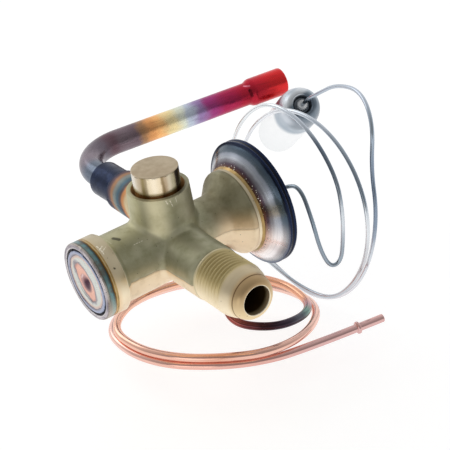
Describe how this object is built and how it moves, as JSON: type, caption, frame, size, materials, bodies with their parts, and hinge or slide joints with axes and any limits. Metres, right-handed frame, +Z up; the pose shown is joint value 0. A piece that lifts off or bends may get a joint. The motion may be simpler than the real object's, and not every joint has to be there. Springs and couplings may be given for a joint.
{
  "type": "thermostatic expansion valve",
  "caption": "Brass refrigerant expansion valve with a threaded inlet, bent copper outlet tube, coiled equalizer tube, round power head, and a capillary running to a sensing bulb.",
  "frame": {"origin": "middle of the inlet's mouth, where its bore meets the nose face", "axes": "-Y out of the inlet, +Y back along the outlet arm, +X along the barrel from the welded end cap to the power head, +Z up the plugged boss"},
  "size_m": [0.1527, 0.1405, 0.0888],
  "materials": {
    "forged_brass": "machined, dulled olive by heat",
    "plug_steel": "turned, bright with warm heat tint",
    "braze_alloy": "melted, dull amber",
    "cap_ring_steel": "turned, blue-grey heat tint",
    "cap_steel": "turned, banded heat tint",
    "weld": "welded, dark blue",
    "head_steel": "satin, heat tinted at its foot",
    "sleeve_steel": "dark navy heat tint",
    "tinted_copper": "copper, heat tinted in bands",
    "copper": "drawn copper, satin",
    "capillary_steel": "drawn, satin grey",
    "bulb_metal": "satin grey",
    "nipple_steel": "bright, turned",
    "copper_fitting": "copper, darkened by brazing",
    "screw_brass": "turned",
    "spring_steel": "drawn wire",
    "inner_steel": "turned",
    "seal_rubber": "moulded"
  },
  "bodies": {
    "valve": {"valve_body": "forged_brass", "boss_plug": "plug_steel", "plug_braze_ring": "braze_alloy", "cap_braze_ring": "braze_alloy", "head_braze_ring": "braze_alloy", "outlet_braze_ring": "braze_alloy", "sleeve_braze_ring": "braze_alloy", "equalizer_braze_ring": "braze_alloy", "cap_ring": "cap_ring_steel", "end_cap": "cap_steel", "cap_weld_bead": "weld", "rim_weld_bead": "weld", "lower_diaphragm_housing": "head_steel", "upper_diaphragm_cover": "head_steel", "outlet_sleeve": "sleeve_steel", "outlet_tube": "tinted_copper", "equalizer_tube": "copper", "capillary_tube": "capillary_steel", "bulb": "bulb_metal", "bulb_nipple": "nipple_steel", "capillary_ferrule": "nipple_steel", "equalizer_nipple": "copper_fitting", "adjusting_screw": "screw_brass", "superheat_spring": "spring_steel", "orifice_seat": "inner_steel", "rod_seal": "seal_rubber", "seal_retainer": "screw_brass", "diaphragm": "inner_steel"},
    "valve_train": {"push_rod": "inner_steel", "thrust_plate": "inner_steel", "valve_cone": "inner_steel", "spring_seat": "inner_steel"}
  },
  "joints": [
    {"name": "valve_stroke", "type": "slide", "parent": "valve", "child": "valve_train", "axis": [-1, 0, 0], "range_m": [0, 0.0006], "stiffness_N_per_m": 200, "springref_m": -0.002, "deforming": ["superheat_spring", "diaphragm"]}
  ]
}
